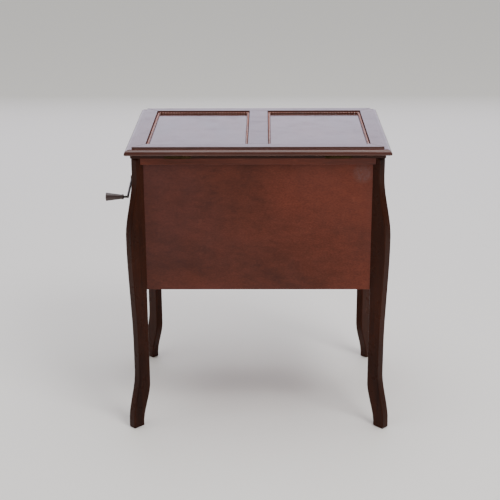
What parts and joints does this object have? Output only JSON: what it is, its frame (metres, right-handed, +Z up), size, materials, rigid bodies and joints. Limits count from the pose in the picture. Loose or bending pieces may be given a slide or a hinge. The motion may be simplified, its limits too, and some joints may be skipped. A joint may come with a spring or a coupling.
{
  "type": "console table",
  "caption": "Console cabinet on splayed plank legs with a hinged panelled lid, a side winding crank, a record deck and a storage well with a sliding tray.",
  "frame": {"origin": "on the floor, under the middle of the whole outline, crank grip included; the table top is centred 23 mm towards +X", "axes": "+X along the width away from the crank, +Y from the plain back to the doors, +Z up"},
  "size_m": [0.6702, 0.4536, 0.69],
  "materials": {
    "leg_wood": "dark stained hardwood, worn varnish",
    "panel_wood": "red-brown mahogany, satin varnish",
    "lid_wood": "brown mahogany, glossy varnish",
    "plain_wood": "plain unfinished boards",
    "brass": "aged brass",
    "nickel": "nickel plate, slightly dull",
    "iron": "blackened iron",
    "barrel_steel": "plain steel",
    "felt": "green felt",
    "grip_wood": "turned dark hardwood",
    "grille_fabric": "plain woven grille cloth"
  },
  "bodies": {
    "case": {"leg_back_left": "leg_wood", "leg_back_right": "leg_wood", "leg_front_left": "leg_wood", "leg_front_right": "leg_wood", "back_panel": "panel_wood", "side_panel_left": "panel_wood", "side_panel_right": "panel_wood", "front_top_rail": "panel_wood", "front_bottom_rail": "panel_wood", "case_floor": "plain_wood", "centre_partition": "panel_wood", "frieze_moulding": "panel_wood", "cornice_frame": "leg_wood", "case_hinge_leaves": "brass", "stay_guide": "brass", "post_hinge_leaves": "brass", "deck_board": "panel_wood", "deck_screws": "nickel", "motor_frame": "iron", "crank_escutcheon": "brass", "tonearm_base": "nickel", "arm_rest": "nickel", "needle_cups": "nickel", "lever_posts": "brass", "horn": "plain_wood", "grille_cloth": "grille_fabric", "horn_grille": "panel_wood", "well_floor": "plain_wood", "record_dividers": "plain_wood", "tray_runners": "panel_wood"},
    "lid": {"lid_rails": "lid_wood", "lid_stiles": "lid_wood", "lid_muntin": "lid_wood", "lid_panels": "lid_wood", "lid_beading": "lid_wood", "lid_hinge_leaves": "brass", "lid_stay": "brass"},
    "door_left": {"door_left_frame": "panel_wood", "door_left_panel": "panel_wood", "door_left_knob": "brass", "door_left_leaves": "brass"},
    "door_right": {"door_right_frame": "panel_wood", "door_right_panel": "panel_wood", "door_right_knob": "brass", "door_right_leaves": "brass"},
    "turntable": {"turntable_platter": "nickel", "turntable_felt": "felt", "turntable_spindle": "nickel"},
    "mainspring": {"winding_gear": "brass", "spring_barrel": "barrel_steel"},
    "governor": {"governor": "brass"},
    "crank": {"winding_shaft": "nickel", "crank_rod": "iron"},
    "grip": {"crank_grip": "grip_wood"},
    "tonearm": {"tonearm": "nickel"},
    "sound_box": {"sound_box": "nickel", "needle": "nickel"},
    "brake_lever": {"brake_lever": "nickel"},
    "speed_lever": {"speed_lever": "nickel"},
    "tray": {"sliding_tray": "plain_wood"}
  },
  "joints": [
    {"name": "lid_hinge", "type": "hinge", "parent": "case", "child": "lid", "pos_m": [0.02337, -0.2055, 0.669], "axis": [1, 0, 0], "range_deg": [0, 62]},
    {"name": "door_left_hinge", "type": "hinge", "parent": "case", "child": "door_left", "pos_m": [-0.23554, 0.193, 0.477], "axis": [0, 0, 1], "range_deg": [0, 100]},
    {"name": "door_right_hinge", "type": "hinge", "parent": "case", "child": "door_right", "pos_m": [0.28227, 0.193, 0.477], "axis": [0, 0, -1], "range_deg": [0, 100]},
    {"name": "crank_turn", "type": "hinge", "parent": "case", "child": "crank", "pos_m": [-0.28364, 0, 0.562], "axis": [1, 0, 0], "continuous": true},
    {"name": "grip_spin", "type": "hinge", "parent": "crank", "child": "grip", "pos_m": [-0.30663, -0.105, 0.546], "axis": [1, 0, 0], "continuous": true},
    {"name": "mainspring_turn", "type": "hinge", "parent": "case", "child": "mainspring", "pos_m": [-0.13664, 0, 0.5075], "axis": [1, 0, 0], "continuous": true},
    {"name": "turntable_spin", "type": "hinge", "parent": "case", "child": "turntable", "pos_m": [-0.09163, 0.035, 0.615], "axis": [0, 0, 1], "continuous": true},
    {"name": "governor_spin", "type": "hinge", "parent": "case", "child": "governor", "pos_m": [-0.06964, 0.035, 0.571], "axis": [0, 1, 0], "continuous": true},
    {"name": "tonearm_swing", "type": "hinge", "parent": "case", "child": "tonearm", "pos_m": [-0.19163, -0.14, 0.62], "axis": [0, 0, 1], "range_deg": [0, 43]},
    {"name": "sound_box_turn", "type": "hinge", "parent": "tonearm", "child": "sound_box", "pos_m": [-0.00664, -0.159, 0.649], "axis": [0, 1, 0], "range_deg": [0, 60]},
    {"name": "brake_swing", "type": "hinge", "parent": "case", "child": "brake_lever", "pos_m": [0.03136, 0.148, 0.612], "axis": [0, 0, 1], "range_deg": [-20, 20]},
    {"name": "speed_swing", "type": "hinge", "parent": "case", "child": "speed_lever", "pos_m": [-0.21263, 0.146, 0.612], "axis": [0, 0, 1], "range_deg": [-30, 30]},
    {"name": "tray_slide", "type": "slide", "parent": "case", "child": "tray", "axis": [0, -1, 0], "range_m": [0, 0.16]}
  ],
  "couplings": [
    {"joint": "mainspring_turn", "follows": "crank_turn", "ratio": -0.5},
    {"joint": "governor_spin", "follows": "turntable_spin", "ratio": 12}
  ]
}
